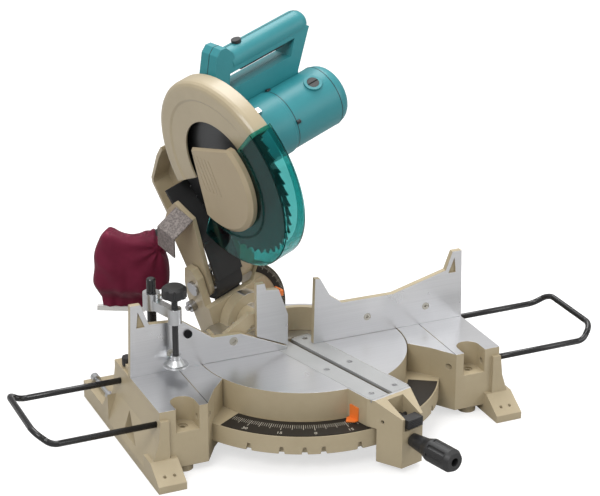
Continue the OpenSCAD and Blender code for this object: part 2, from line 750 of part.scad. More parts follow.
module outer_flange() {
  color(silver) at_blade() difference() {
    bar_x(-9, -blade_thick / 2, 30);
    bar_x(-5.2, 0, blade_bore / 2);
    bar_x(-20, 0, 5.1);
  }
}
module arbor_bolt() {
  color(dark) at_blade() {
    bar_x(-9.1, 22, 5);
    translate([-15, 0, 0]) rotate([90, 0, 90]) linear_extrude(6) circle(r = 10, $fn = 6);
  }
}
module lower_guard() {
  color([0.2, 0.6, 0.55, 0.6]) at_blade() swept(guard_from, guard_to) polygon([[70, -22], [guard_radius - 3, -22],
    [guard_radius, -19], [guard_radius, 18.5], [148, 18.5], [148, case_half + 0.6], [guard_radius - 3, case_half + 0.6],
    [guard_radius - 3, -18.2], [guard_radius - 4.4, -19.6], [70, -19.6]]);
}
module centre_cover() {
  color(cream) at_blade() difference() {
    intersection() {
      spun() polygon([[0, -35], [91, -35], [98, -30], [98, -22], [92, -22], [92, -31], [0, -31]]);
      side_plate(-36, -21) polygon([[42, -120], [38, 46], [-58, 70], [-130, 60], [-130, -120]]);
    }
    translate([-35, -10, 58]) rotate([-14, 0, 0]) rotate([0, 45, 0]) cube([7, 140, 7], center = true);
    for (i = [-2:2]) translate([0, 10 - i * 10, 0]) rotate([-12, 0, 0]) box([-36, -34.2], [-1.6, 0], [-30, 34]);
  }
}
module shaft_lock() { color(silver) at_motor() rotate([90 - 62, 0, 0]) box([46.1, 57.9], [-5, 5], [motor_radius - 4, motor_radius + 9]); }

// Dust parts.
module deflector_plate() {
  color([0.55, 0.55, 0.55]) tilted() translate([0, 187, 210]) rotate([16, 0, 0]) wall(-22, 22)
    polygon([[-44, 10.3], [-44, 12.7], [-85, -4.8], [-87.4, -46], [-85, -46], [-83, -6.4]]);
}
module nozzle_path(radius) {
  at_blade() bent_bar([[-9, 120, -108], [-9, 177, -160], [-46, 199.4, -176.8]], radius, 1.25);
}
module dust_nozzle() {
  color(dark) difference() {
    nozzle_path(17);
    at_blade() link([-35.5, 193, -172], [-70, 213.8, -187.6], 14);
    at_blade() bar_x(-60, 60, 174.1);
  }
}
module dust_bag() {
  rings = 10;
  sides = 24;
  mouth = [65, -2.2, 45.4];
  inward = [-0.772, 0.259, -0.581];
  upward = cross([0, 1, 0], inward) / norm(cross([0, 1, 0], inward));
  across = cross(inward, upward);
  color([0.42, 0.08, 0.12]) at_blade() translate([-118, 221, -204]) rotate([0, bevel_shown, -mitre_shown]) polyhedron(
    points = concat(
      [for (k = [0:sides - 1]) let(c = k * 360 / sides) mouth + 20 * (cos(c) * across + sin(c) * upward)],
      [for (i = [1:rings], k = [0:sides - 1]) let(u = (i - 1) / (rings - 1), c = k * 360 / sides,
        swell = pow(sin(40 + 125 * u), 0.3))
        [50 - 108 * u,
         33 * swell * sign(cos(c)) * pow(abs(cos(c)), 0.8),
         67 * swell * sign(sin(c)) * pow(abs(sin(c)), 0.8) + 8 * (1 - u) * (1 - u) * (1 - u)]]),
    faces = concat([[for (k = [0:sides - 1]) k]], [[for (k = [sides - 1:-1:0]) rings * sides + k]],
      [for (i = [0:rings - 1], k = [0:sides - 1])
        [i * sides + (k + 1) % sides, i * sides + k, (i + 1) * sides + k]],
      [for (i = [0:rings - 1], k = [0:sides - 1])
        [i * sides + (k + 1) % sides, (i + 1) * sides + k, (i + 1) * sides + (k + 1) % sides]]));
}
module bag_strip() {
  color([0.9, 0.9, 0.88]) at_blade() translate([-118, 221, -204]) rotate([0, bevel_shown, -mitre_shown])
    box([-66, 40], [-4, 4], [-71.6, -66]);
}
module dust_flap() {
  color(dark) {
    at_blade() swept(205, 244) polygon([[168, -35.5], [174, -35.5], [174, 18.7], [168, 18.7]]);
    at_blade() side_plate(-35.5, 18.7) polygon([[76, -148], [82, -150], [72, -223], [66, -223]]);
  }
}
module return_spring() {
  turns = 6;
  rings = turns * 20;
  color(silver) tilted() translate([0, pivot_back, pivot_up]) polyhedron(
    points = [for (i = [0:rings], k = [0:7]) let(a = i * 18, c = k * 45, r = 20 + 2 * cos(c))
      [-28.3 + i * 44 / rings + 2 * sin(c), r * cos(a), r * sin(a)]],
    faces = concat([[for (k = [0:7]) k]], [[for (k = [7:-1:0]) rings * 8 + k]],
      [for (i = [0:rings - 1], k = [0:7]) [i * 8 + (k + 1) % 8, i * 8 + k, (i + 1) * 8 + k, (i + 1) * 8 + (k + 1) % 8]]));
}

base_casting();
mitre_scale();
guide_fence();
fence_bolts();
pivot_bolt();
hex_wrench();
left_lock_screw();
right_lock_screw();
left_holder();
right_holder();
pivot_fence();
vise_post();
vise_arm();
vise_pad();
vise_screw();
turn_base();
kerf_board_left();
kerf_board_right();
kerf_screws();
mitre_pointer();
bevel_pointer();
bevel_bolt();
lock_grip();
lock_rod();
lock_lever();
arm_holder();
bevel_scale();
pivot_shaft();
stop_pin();
bevel_lever();
blade_case();
saw_arm();
gear_housing();
motor_housing();
motor_end_cover();
handle_front();
handle_rear();
housing_screws();
brush_caps();
stator();
bearings();
deflector_plate();
dust_nozzle();
dust_bag();
bag_strip();
dust_flap();
return_spring();
shaft_lock();
trigger();
lock_button();
spindle();
saw_blade();
inner_flange();
outer_flange();
arbor_bolt();
armature();
lower_guard();
centre_cover();
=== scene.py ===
# %% [markdown]
# A compound mitre saw for the studio.
# The CAD model is the fixed frame: every casting and shell keeps its exact shape and place. This
# lesson gives each of them a finish, swaps the plain bag solid for sewn cloth and the two bars for
# rods with true bends, and adds the fine things that a CAD kernel is slow at, such as scale marks
# and the carbide tips of the teeth.

# %% Load the frame
from math import atan2, cos, exp, radians, sin, tan

import bmesh
import bpy
from mathutils import Matrix, Vector, noise


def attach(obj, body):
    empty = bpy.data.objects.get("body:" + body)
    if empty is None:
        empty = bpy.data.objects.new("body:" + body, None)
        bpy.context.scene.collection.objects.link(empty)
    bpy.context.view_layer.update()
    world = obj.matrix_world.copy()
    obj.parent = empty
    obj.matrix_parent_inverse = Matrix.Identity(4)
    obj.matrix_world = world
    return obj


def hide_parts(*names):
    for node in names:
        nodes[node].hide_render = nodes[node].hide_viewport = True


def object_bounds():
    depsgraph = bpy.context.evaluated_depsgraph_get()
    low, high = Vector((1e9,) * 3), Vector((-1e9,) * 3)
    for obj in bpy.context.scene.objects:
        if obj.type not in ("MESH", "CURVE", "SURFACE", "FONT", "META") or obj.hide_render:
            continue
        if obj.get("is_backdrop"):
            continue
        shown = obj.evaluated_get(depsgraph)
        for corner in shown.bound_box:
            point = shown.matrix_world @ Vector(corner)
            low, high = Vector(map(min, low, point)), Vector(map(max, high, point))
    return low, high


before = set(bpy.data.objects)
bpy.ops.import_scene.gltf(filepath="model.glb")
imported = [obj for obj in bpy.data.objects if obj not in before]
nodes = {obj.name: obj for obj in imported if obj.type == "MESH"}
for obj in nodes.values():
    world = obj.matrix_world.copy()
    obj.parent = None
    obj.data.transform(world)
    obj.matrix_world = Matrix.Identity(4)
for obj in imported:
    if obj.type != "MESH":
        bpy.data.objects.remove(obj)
cad_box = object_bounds()
print(len(nodes), "CAD nodes in a box of", [round(x, 3) for x in cad_box[1] - cad_box[0]], "m")

# %% [markdown]
# The frames of the saw.
# The turntable is shown turned by 15 degrees and the head leans by 15 degrees, so a piece on the
# head is easiest to draw in the head's own upright frame and then carried over by one matrix.
# Writing each matrix once here keeps every later piece free of these angles.

# %% Frames
TABLE_TOP, MITRE, BEVEL = 0.115, 15, 15
PIVOT_BACK, PIVOT_UP, ARM, ARM_ANGLE = 0.190, 0.080, 0.2583, radians(66)
BAG_FROM_BLADE = (-0.118, 0.221, -0.204)


def moved(x, y, z):
    return Matrix.Translation((x, y, z))


def rotated(degrees, axis):
    return Matrix.Rotation(radians(degrees), 4, axis)


tilted = rotated(MITRE, "Z") @ moved(0, 0, TABLE_TOP) @ rotated(-BEVEL, "Y")
at_blade = tilted @ moved(0, PIVOT_BACK - ARM * cos(ARM_ANGLE), PIVOT_UP + ARM * sin(ARM_ANGLE))
at_bag = at_blade @ moved(*BAG_FROM_BLADE) @ rotated(-MITRE, "Z") @ rotated(BEVEL, "Y")
print("blade axis at", [round(x, 4) for x in at_blade.translation])

# %% [markdown]
# Camera and lights.
# The camera stands where the picture was taken: a long lens, a little left of the middle and above.
# Three broad area lights give soft shadows and long smooth reflections, which is what makes milled
# metal and moulded shells read as themselves. Small lamps would leave hard, busy highlights.

# %% Camera and lights
VIEW = Vector((0.37405526, 0.84700374, -0.37771329))
CAMERA_AT, LENS, SENSOR = (-1.18742, -2.68333, 1.48653), 117.63, 36
LIGHTS = {  # place, target, size across in metres, power in watts
    "key": ((-1.7, -1.5, 2.3), (0, 0, 0.25), 1.3, 36),
    "fill": ((2.2, -1.6, 1.3), (0, 0, 0.2), 1.6, 17),
    "top": ((0.3, 0.9, 2.6), (0, 0, 0.2), 1.8, 44),
}
scene = bpy.context.scene
scene.view_settings.view_transform = "Standard"


def into_scene(name, data):
    """An object for the data, linked to the scene."""
    made = bpy.data.objects.new(name, data)
    scene.collection.objects.link(made)
    return made


def looking(way):
    """The turn of a camera or lamp that looks along the way."""
    return way.to_track_quat("-Z", "Y").to_euler()


camera = into_scene("camera", bpy.data.cameras.new("camera"))
camera.data.lens, camera.data.sensor_width = LENS, SENSOR
camera.location, camera.rotation_euler = CAMERA_AT, looking(VIEW)
scene.camera = camera
for name, (place, target, size, power) in LIGHTS.items():
    lamp = bpy.data.lights.new(name, "AREA")
    lamp.shape, lamp.size, lamp.energy = "DISK", size, power
    light = into_scene(name, lamp)
    light.location, light.rotation_euler = place, looking(Vector(target) - Vector(place))
print("camera and", len(LIGHTS), "lights")

# %% [markdown]
# Helpers for node trees.
# A finish is a small graph, and each node needs a kind, a few settings and links. A short function
# makes a node and fills its sockets, so the finishes below read as lists of what they do.

# %% Node helpers


def fill(tree, node, values):
    """Link or set the node's inputs, by name or number."""
    for name, value in values.items():
        if isinstance(value, bpy.types.NodeSocket):
            tree.links.new(value, node.inputs[name])
        else:
            node.inputs[name].default_value = value


def add(tree, kind, values=None, **settings):
    """A new node with these settings and inputs."""
    node = tree.nodes.new("ShaderNode" + kind)
    for name, value in settings.items():
        setattr(node, name, value)
    fill(tree, node, values or {})
    return node


def object_place(tree):
    return add(tree, "TexCoord").outputs["Object"]


print("node helpers are ready")

# %% Value and colour helpers


def mix(tree, factor, a, b):
    """A colour between a and b."""
    return add(tree, "Mix", {0: factor, 6: a, 7: b}, data_type="RGBA").outputs[2]


def mix_value(tree, factor, a, b):
    """A number between a and b."""
    return add(tree, "Mix", {0: factor, 2: a, 3: b}).outputs[0]


def span(tree, value, low, high, start=0.0, end=1.0):
    """value, taken from low..high to start..end and held there."""
    return add(tree, "MapRange", {0: value, 1: low, 2: high, 3: start, 4: end}).outputs[0]


def calc(tree, operation, a, b=0.0):
    return add(tree, "Math", {0: a, 1: b}, operation=operation).outputs[0]


def times(tree, a, b):
    return calc(tree, "MULTIPLY", a, b)


def gap_to(tree, value, level):
    """How far the value is from the level."""
    return calc(tree, "ABSOLUTE", calc(tree, "SUBTRACT", value, level))


def clouds_at(tree, place, scale, detail, roughness=0.5):
    """Soft noise, with about that many cells to a metre."""
    values = {"Vector": place, "Scale": scale, "Detail": detail, "Roughness": roughness}
    return add(tree, "TexNoise", values).outputs["Fac"]


def bumped(tree, height, strength, distance, normal=None):
    """A normal that the height roughens, on top of the one given."""
    values = {"Height": height, "Strength": strength, "Distance": distance}
    if normal is not None:
        values["Normal"] = normal
    return add(tree, "Bump", values).outputs[0]


print("value and colour helpers are ready")

# %% [markdown]
# The world round the saw.
# The metal mirrors a world that is pale above and dims towards the floor, which gives it contrast.
# The camera itself sees a plain pale backdrop, so the two are told apart by the kind of light ray.
# A picture of a studio would do the same, but this needs no file.

# %% Studio world
DOME_LOW, DOME_HIGH, DIM, BRIGHT = -0.1, 0.7, 0.22, 0.9
WARM_WHITE = (1.0, 0.99, 0.98, 1)
world = bpy.data.worlds.new("studio")
scene.world = world
world.use_nodes = True
sky = world.node_tree
upward = add(sky, "SeparateXYZ", {0: add(sky, "TexCoord").outputs["Generated"]}).outputs["Z"]
dome = span(sky, upward, DOME_LOW, DOME_HIGH, DIM, BRIGHT)
seen = add(sky, "LightPath").outputs["Is Camera Ray"]
fill(sky, sky.nodes["Background"], {"Color": WARM_WHITE, "Strength": calc(sky, "MAXIMUM", dome, seen)})
print("a world that is pale above and dim at the horizon")

# %% [markdown]
# Shared surface effects.
# Edges coloured lighter (partly wear, partly a painted highlight), the fine skin of paint or moulded
# plastic, and the marks of a milling cutter turn up on many pieces. Each is one node group with named
# inputs. The edge group compares the true normal with a rounded one, so it also hands back that rounded
# normal: every sharp CAD edge then catches a thin highlight, as a cast or moulded edge does.

# %% Group helpers


def new_group(name, inputs, outputs):
    """A group of number inputs: its tree, the sockets to get from, and the node to put to."""
    tree = bpy.data.node_groups.new(name, "ShaderNodeTree")
    for label, value in inputs.items():
        socket = tree.interface.new_socket(label, in_out="INPUT", socket_type="NodeSocketFloat")
        socket.default_value = value
    for label, kind in outputs.items():
        tree.interface.new_socket(label, in_out="OUTPUT", socket_type="NodeSocket" + kind)
    return tree, tree.nodes.new("NodeGroupInput").outputs, tree.nodes.new("NodeGroupOutput")


def use(tree, name, **values):
    """Place a group with its own values, and hand back its outputs."""
    node = tree.nodes.new("ShaderNodeGroup")
    node.node_tree = bpy.data.node_groups[name]
    fill(tree, node, values)
    return node.outputs


print("group helpers are ready")

# %% Shared effects
EDGE_TURN, EDGE_CELLS, EDGE_BREAKS = (0.97, 0.78), 60.0, (0.42, 0.62)
CLOUD_RANGE, SHEEN_CELLS = (0.3, 0.7), 9.0
CUTTER_STREAK = (6.0, 900.0, 900.0)  # long along x, fine across it
# The mask marks the edges that are coloured lighter: partly wear, partly a painted highlight.
tree, get, put = new_group("edge_wear_and_highlight", {"Radius": 0.0012}, {"Normal": "Vector", "Mask": "Float"})
softened = add(tree, "Bevel", {"Radius": get["Radius"]}, samples=4).outputs[0]
true_normal = add(tree, "NewGeometry").outputs["Normal"]
turn = add(tree, "VectorMath", {0: softened, 1: true_normal}, operation="DOT_PRODUCT").outputs["Value"]
patches = clouds_at(tree, object_place(tree), EDGE_CELLS, detail=4.0)
mask = times(tree, span(tree, turn, *EDGE_TURN), span(tree, patches, *EDGE_BREAKS))
fill(tree, put, {"Normal": softened, "Mask": mask})

tree, get, put = new_group("skin", {"Grain": 900.0, "Clouds": 16.0},
                           {"Height": "Float", "Mottle": "Float"})
place = object_place(tree)
fine = clouds_at(tree, place, get["Grain"], detail=3.0, roughness=0.6)
broad = clouds_at(tree, place, get["Clouds"], detail=5.0, roughness=0.65)
fill(tree, put, {"Height": fine, "Mottle": span(tree, broad, *CLOUD_RANGE)})

tree, get, put = new_group("milled", {"Pitch": 1.0}, {"Streak": "Float", "Sheen": "Float"})
place = object_place(tree)
along = add(tree, "Mapping", {"Vector": place, "Scale": CUTTER_STREAK}).outputs[0]
lines = clouds_at(tree, along, get["Pitch"], detail=3.0)
broad = clouds_at(tree, place, SHEEN_CELLS, detail=3.0)
fill(tree, put, {"Streak": lines, "Sheen": span(tree, broad, *CLOUD_RANGE)})
print("groups:", [group.name for group in bpy.data.node_groups])

# %% [markdown]
# Paint, plastic and plain metal.
# Most surfaces are one colour with small changes: clouds of tone, a fine skin in the bump, and
# edges that are a little lighter, partly wear and partly a painted highlight. One recipe makes them
# all, and its numbers make them differ.

# %% Finish recipe
# The first number is how far edges go to their paler colour: partly wear, partly a painted highlight.
EDGE_WEAR_AND_HIGHLIGHT, SKIN_BUMP, SKIN_DEPTH = 0.5, 0.06, 0.0004


def opened(material):
    """A finish's node tree and its shader."""
    return material.node_tree, material.node_tree.nodes["Principled BSDF"]


def new_finish(name):
    material = bpy.data.materials.new(name)
    material.use_nodes = True
    print("finish:", name)
    return material, *opened(material)


def rgba(colour):
    return (*colour, 1.0)


def skin_finish(name, dark, light, edge, rough, grain=900.0, bump=SKIN_BUMP, radius=0.0012, **constants):
    """Clouds from dark to light, paler edges (partly wear, partly a painted highlight), and a fine skin;
    constants go to the shader's sockets.
    """
    material, tree, shader = new_finish(name)
    skin = use(tree, "skin", Grain=grain)
    wear_highlight = use(tree, "edge_wear_and_highlight", Radius=radius)
    tone = mix(tree, skin["Mottle"], rgba(dark), rgba(light))
    fill(tree, shader, {
        # Paler edges: partly wear, partly a painted highlight.
        "Base Color": mix(tree, times(tree, wear_highlight["Mask"], EDGE_WEAR_AND_HIGHLIGHT), tone, rgba(edge)),
        "Roughness": span(tree, skin["Mottle"], 0, 1, *rough),
        "Normal": bumped(tree, skin["Height"], bump, SKIN_DEPTH, wear_highlight["Normal"]),
    })
    fill(tree, shader, {socket.replace("_", " "): value for socket, value in constants.items()})
    return material


print("finish recipe is ready")

# %% Painted and moulded finishes
CREAM_TONES = (0.395, 0.328, 0.212), (0.435, 0.365, 0.242), (0.60, 0.54, 0.42)
CREAM_ROUGH = (0.34, 0.42)
cream = skin_finish("cream_paint", *CREAM_TONES, CREAM_ROUGH, Coat_Weight=0.3, Coat_Roughness=0.2)
cover_tan = skin_finish("tan_plastic", (0.375, 0.302, 0.195), (0.41, 0.335, 0.22), (0.54, 0.47, 0.35),
                        (0.38, 0.48))
teal = skin_finish("teal_plastic", (0.022, 0.215, 0.245), (0.028, 0.24, 0.27), (0.10, 0.40, 0.43),
                   (0.38, 0.46), grain=1600.0, bump=0.05)
black = skin_finish("black_plastic", (0.012, 0.012, 0.013), (0.022, 0.022, 0.023), (0.09, 0.09, 0.09),
                    (0.36, 0.5), grain=1400.0, bump=0.12)
black_paint = skin_finish("black_rod_paint", (0.008, 0.008, 0.009), (0.014, 0.014, 0.015),
                          (0.10, 0.10, 0.10), (0.2, 0.3), radius=0.0008)
rubber = skin_finish("black_rubber", (0.010, 0.010, 0.011), (0.019, 0.019, 0.020), (0.05, 0.05, 0.05),
                     (0.55, 0.72), grain=700.0, bump=0.2)
scale_plate = skin_finish("dark_scale_plate", (0.016, 0.013, 0.010), (0.022, 0.018, 0.014),
                          (0.06, 0.05, 0.04), (0.5, 0.6), radius=0.0004, Specular_IOR_Level=0.25)
orange = skin_finish("orange_paint", (0.78, 0.17, 0.025), (0.86, 0.22, 0.035), (0.95, 0.42, 0.16),
                     (0.36, 0.46), radius=0.0006)
board = skin_finish("grey_board", (0.33, 0.335, 0.335), (0.38, 0.385, 0.385), (0.52, 0.53, 0.53),
                    (0.42, 0.52), grain=1100.0)
white_ink = skin_finish("white_ink", (0.50, 0.46, 0.38), (0.58, 0.54, 0.45), (0.7, 0.7, 0.7),
                        (0.5, 0.6), radius=0.0002)

# %% Plain metals
zinc = skin_finish("zinc_plate", (0.50, 0.51, 0.52), (0.62, 0.63, 0.64), (0.85, 0.85, 0.85),
                   (0.26, 0.4), radius=0.0006, Metallic=1.0)
steel = skin_finish("bare_steel", (0.36, 0.36, 0.37), (0.48, 0.48, 0.49), (0.72, 0.72, 0.72),
                    (0.24, 0.36), radius=0.0006, Metallic=1.0)
oxide = skin_finish("black_oxide", (0.030, 0.030, 0.032), (0.055, 0.055, 0.058), (0.25, 0.25, 0.25),
                    (0.3, 0.42), radius=0.0006, Metallic=0.8)
winding = skin_finish("copper_core", (0.30, 0.13, 0.05), (0.45, 0.20, 0.08), (0.7, 0.4, 0.2),
                      (0.35, 0.5), Metallic=1.0)

# %% [markdown]
# Castings with milled faces.
# The table, the disc and the fence are painted castings whose working faces were milled bare
# afterwards. The bare faces are exactly those that look straight up, or straight to the front,
# at one known height or depth, so a mask from the object's own normal and place finds them.
# A painted-on map would slip if the model were resized; this mask can't.

# %% Milled castings
FACING, MASK_EDGE = (0.96, 0.98), 0.0004
BARE_TONES, BARE_ROUGH = ((0.66, 0.665, 0.68, 1), (0.78, 0.785, 0.80, 1)), (0.27, 0.32)
CASTING_ROUGH = (0.34, 0.44)
GROOVE_SHADE, GROOVE_EDGE, GROOVE_AT = (0.16, 0.16, 0.17, 1), (0.0009, 0.0005), 0.217
TABLE_SKIM, DISC_SKIM, FENCE_SKIM = 0.0008, 0.0012, 0.0006  # the mask starts this far under the face


def milled_casting(name, axis, sign, level, groove=None):
    """Cream paint, bare where the normal follows the axis and the place lies past the level."""
    material, tree, shader = new_finish(name)
    where = add(tree, "TexCoord").outputs
    normal = add(tree, "SeparateXYZ", {0: where["Normal"]}).outputs
    place = add(tree, "SeparateXYZ", {0: where["Object"]}).outputs
    facing = span(tree, times(tree, normal[axis], sign), *FACING)
    past = span(tree, times(tree, place[axis], sign), sign * level, sign * level + MASK_EDGE)
    bare = times(tree, facing, past)
    skin, wear_highlight, cut = use(tree, "skin"), use(tree, "edge_wear_and_highlight"), use(tree, "milled", Pitch=1.0)
    dark, light, edge = (rgba(tone) for tone in CREAM_TONES)
    paint = mix(tree, skin["Mottle"], dark, light)
    # Paler paint along the edges: partly wear, partly a painted highlight.
    paint = mix(tree, times(tree, wear_highlight["Mask"], EDGE_WEAR_AND_HIGHLIGHT), paint, edge)
    metal = mix(tree, cut["Streak"], *BARE_TONES)
    # A thin dark line along the groove on each side: painted shade of the engraved groove.
    if groove:
        near = gap_to(tree, calc(tree, "ABSOLUTE", place[0]), groove)
        metal = mix(tree, span(tree, near, *GROOVE_EDGE), metal, GROOVE_SHADE)
    painted = span(tree, skin["Mottle"], 0, 1, *CASTING_ROUGH)
    polished = span(tree, cut["Sheen"], 0, 1, *BARE_ROUGH)
    height = mix_value(tree, bare, skin["Height"], cut["Streak"])
    fill(tree, shader, {
        "Base Color": mix(tree, bare, paint, metal),
        "Metallic": bare,
        "Roughness": mix_value(tree, bare, painted, polished),
        "Normal": bumped(tree, height, SKIN_BUMP, SKIN_DEPTH, wear_highlight["Normal"]),
    })
    return material


table_casting = milled_casting("table_casting", 2, 1.0, TABLE_TOP - TABLE_SKIM, groove=GROOVE_AT)
disc_casting = milled_casting("disc_casting", 2, 1.0, TABLE_TOP - DISC_SKIM)
fence_casting = milled_casting("fence_casting", 1, -1.0, FENCE_SKIM)
print("milled castings are masked by their own normals")

# %% [markdown]
# The clear guard.
# The guard is tinted polycarbonate, so it is a real transmitting shell whose walls tint the light.
# A see-through alpha would be quicker to render, but it loses the bright rim of a moulded edge.

# %% Clear guard finish
guard_clear, tree, shader = new_finish("tinted_guard")
skin, wear_highlight = use(tree, "skin"), use(tree, "edge_wear_and_highlight")
tint = mix(tree, skin["Mottle"], (0.10, 0.56, 0.54, 1), (0.13, 0.60, 0.58, 1))
fill(tree, shader, {
    # The edges are tinted pale cyan: a painted highlight on the guard's rim.
    "Base Color": mix(tree, times(tree, wear_highlight["Mask"], 0.3), tint, (0.55, 0.9, 0.88, 1)),
    "Roughness": span(tree, skin["Mottle"], 0, 1, 0.01, 0.03),
    "Normal": wear_highlight["Normal"],
    "Transmission Weight": 1.0,
    "IOR": 1.25,
    "Specular Tint": (0.35, 0.95, 0.90, 1),
})

# %% [markdown]
# The ground blade.
# The blade is a steel disc, ground as it turned. Its fine rings follow the distance from the blade
# axis, which a Mapping node brings to the middle of the pattern. One line of noise along that
# distance is enough, and it stays round whatever the blade's tilt.

# %% Blade finish
RINGS = 900.0  # noise cells to a metre of radius
blade_steel, tree, shader = new_finish("ground_blade")
upright = at_blade.to_3x3().inverted()
shift = -(upright @ at_blade.translation)
centred = add(tree, "Mapping", {"Vector": object_place(tree), "Location": shift,
                                "Rotation": upright.to_euler()}).outputs[0]
flat = add(tree, "VectorMath", {0: centred, 1: (0, 1, 1)}, operation="MULTIPLY").outputs[0]
radius = add(tree, "VectorMath", {0: flat}, operation="LENGTH").outputs["Value"]
rings = add(tree, "TexNoise", {"W": times(tree, radius, RINGS), "Scale": 1.0, "Detail": 3.0},
            noise_dimensions="1D").outputs["Fac"]
fill(tree, shader, {
    "Base Color": mix(tree, rings, (0.035, 0.037, 0.04, 1), (0.10, 0.103, 0.107, 1)),
    "Roughness": span(tree, rings, 0.3, 0.7, 0.28, 0.42),
    "Normal": bumped(tree, rings, strength=0.05, distance=0.0003),
    "Metallic": 0.9,
})

# %% [markdown]
# The deflector and the fence bolts.
# The deflector plate has a hammered enamel: rounded cells that catch the light one by one, which a
# smooth Voronoi pattern gives. The fence bolts are one node of pale steel, but one on the left has
# a dark knob, so a mask across the fence darkens that one alone.

# %% Deflector and bolt finishes
DENTS, DENT_RANGE = 330.0, (0.1, 0.7)
DARK_KNOB_ACROSS, KNOB_EDGE, KNOB_TONE = -0.199, (0.012, 0.010), (0.012, 0.012, 0.013, 1)
hammered, tree, shader = new_finish("hammered_grey")
cells = add(tree, "TexVoronoi", {"Vector": object_place(tree), "Scale": DENTS, "Randomness": 1.0},
            feature="SMOOTH_F1").outputs["Distance"]
# The colour is darker where each dent is deepest: painted shade in the hollows.
dent_shade = span(tree, cells, *DENT_RANGE)
fill(tree, shader, {
    "Base Color": mix(tree, dent_shade, (0.12, 0.105, 0.10, 1), (0.30, 0.265, 0.25, 1)),
    "Roughness": span(tree, cells, *DENT_RANGE, 0.32, 0.5),
    "Normal": bumped(tree, cells, strength=0.5, distance=0.001),
    "Metallic": 0.5,
})

bolt_steel = skin_finish("fence_bolt_steel", (0.46, 0.44, 0.39), (0.56, 0.54, 0.48), (0.8, 0.78, 0.72),
                         (0.3, 0.42), radius=0.0005, Metallic=0.8)
tree, shader = opened(bolt_steel)
across = add(tree, "SeparateXYZ", {0: object_place(tree)}).outputs[0]
on_knob = span(tree, gap_to(tree, across, DARK_KNOB_ACROSS), *KNOB_EDGE)
plain = shader.inputs["Base Color"].links[0].from_socket
fill(tree, shader, {"Base Color": mix(tree, on_knob, plain, KNOB_TONE)})

# %% [markdown]
# Woven cloth.
# The bag is a plain weave about a millimetre wide. Two crossed waves make its threads, and a
# third, broader noise fades the dye along the folds. Object coordinates serve, because the
# bag's mesh is rebuilt by a remesh and would lose any unwrapped map.

# %% Cloth finish
THREAD = {"Scale": 330.0, "Distortion": 0.4}
cloth, tree, shader = new_finish("maroon_weave")
place = object_place(tree)
warp = add(tree, "TexWave", {"Vector": place, **THREAD}, bands_direction="X").outputs["Fac"]
weft = add(tree, "TexWave", {"Vector": place, **THREAD}, bands_direction="Z").outputs["Fac"]
threads = calc(tree, "MAXIMUM", warp, weft)
fade = use(tree, "skin", Clouds=30.0)
dye = mix(tree, fade["Mottle"], (0.155, 0.011, 0.036, 1), (0.21, 0.018, 0.052, 1))
fill(tree, shader, {
    # Between the threads the colour goes nearly black: painted shade in the gaps of the weave.
    "Base Color": mix(tree, span(tree, threads, 0.3, 1.0), (0.05, 0.004, 0.012, 1), dye),
    "Roughness": span(tree, threads, 0, 1, 0.85, 0.62),
    "Normal": bumped(tree, threads, strength=0.35, distance=0.0004),
    "Sheen Weight": 0.06,
    "Sheen Roughness": 0.4,
    "Specular IOR Level": 0.15,
})

# %% [markdown]
# Dressing the CAD nodes.
# Each node has one material slot. A new finish in the slot leaves the CAD mesh as it is. A node that
# isn't in the list, such as a pin, a shaft or a bolt, is bare steel.

# %% Give every node its finish
FINISHES = {
    "base_casting": table_casting, "turn_base": disc_casting, "guide_fence": fence_casting,
    "pivot_fence": fence_casting, "arm_holder": cream, "blade_case": cream, "saw_arm": cream,
    "centre_cover": cover_tan, "gear_housing": teal, "motor_housing": teal, "motor_end_cover": teal,
    "handle_front": teal, "handle_rear": teal, "left_holder": black_paint, "right_holder": black_paint,
    "vise_post": black_paint, "vise_arm": zinc, "vise_pad": zinc, "vise_screw": black,
    "kerf_board_left": board, "kerf_board_right": board, "mitre_pointer": orange,
    "bevel_pointer": orange, "mitre_scale": scale_plate, "bevel_scale": scale_plate,
    "lock_grip": black, "lock_lever": black, "left_lock_screw": black, "right_lock_screw": black,
    "bevel_lever": black, "trigger": black, "lock_button": black, "brush_caps": black,
    "dust_nozzle": black, "dust_flap": rubber, "deflector_plate": hammered, "lower_guard": guard_clear,
    "saw_blade": blade_steel, "stator": winding, "armature": winding, "hex_wrench": zinc,
    "fence_bolts": bolt_steel, "kerf_screws": steel, "housing_screws": steel, "shaft_lock": zinc,
}
for name, node in nodes.items():
    node.data.materials.clear()
    node.data.materials.append(FINISHES.get(name, steel))
print("finished", len(nodes), "nodes, of which", len(nodes) - len(FINISHES), "are not in the list")

# %% [markdown]
# Making a piece.
# A bmesh is built from operators, turned into a mesh, and put on its body. Its place is in the
# mesh and its object stays at the origin, as a CAD node's does.

# %% Piece helpers


def mesh_from(shape, name):
    """The bmesh as a mesh; the bmesh is freed."""
    mesh = bpy.data.meshes.new(name)
    shape.to_mesh(mesh)
    shape.free()
    return mesh


def make_piece(name, shape, material, body, smooth=True):
    bmesh.ops.recalc_face_normals(shape, faces=shape.faces)
    mesh = mesh_from(shape, name)
    for face in mesh.polygons:
        face.use_smooth = smooth
    mesh.materials.append(material)
    piece = into_scene(name, mesh)
    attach(piece, body)
    print(name, "has", len(mesh.polygons), "faces and rides on", body)
    return piece


def add_block(shape, size, place):
    """One box of that size, put in place by a matrix."""
    made = bmesh.ops.create_cube(shape, size=1.0)["verts"]
    bmesh.ops.transform(shape, matrix=place @ Matrix.Diagonal((*size, 1)), verts=made)


def final_mesh(holder):
    """What a text or modified object looks like, as a mesh; the object is removed."""
    graph = bpy.context.evaluated_depsgraph_get()
    mesh = bpy.data.meshes.new_from_object(holder.evaluated_get(graph))
    bpy.data.objects.remove(holder)
    return mesh


print("piece helpers are ready")

# %% [markdown]
# The marks of the mitre scale.
# On the real saw the scale is a dark plate with pale etched marks. Ink has almost no height, but
# a thin raised block for each mark stays crisp at any distance, where a texture would blur.
# Plain numbers stand at the common angles; they are text turned to a mesh before it is placed.

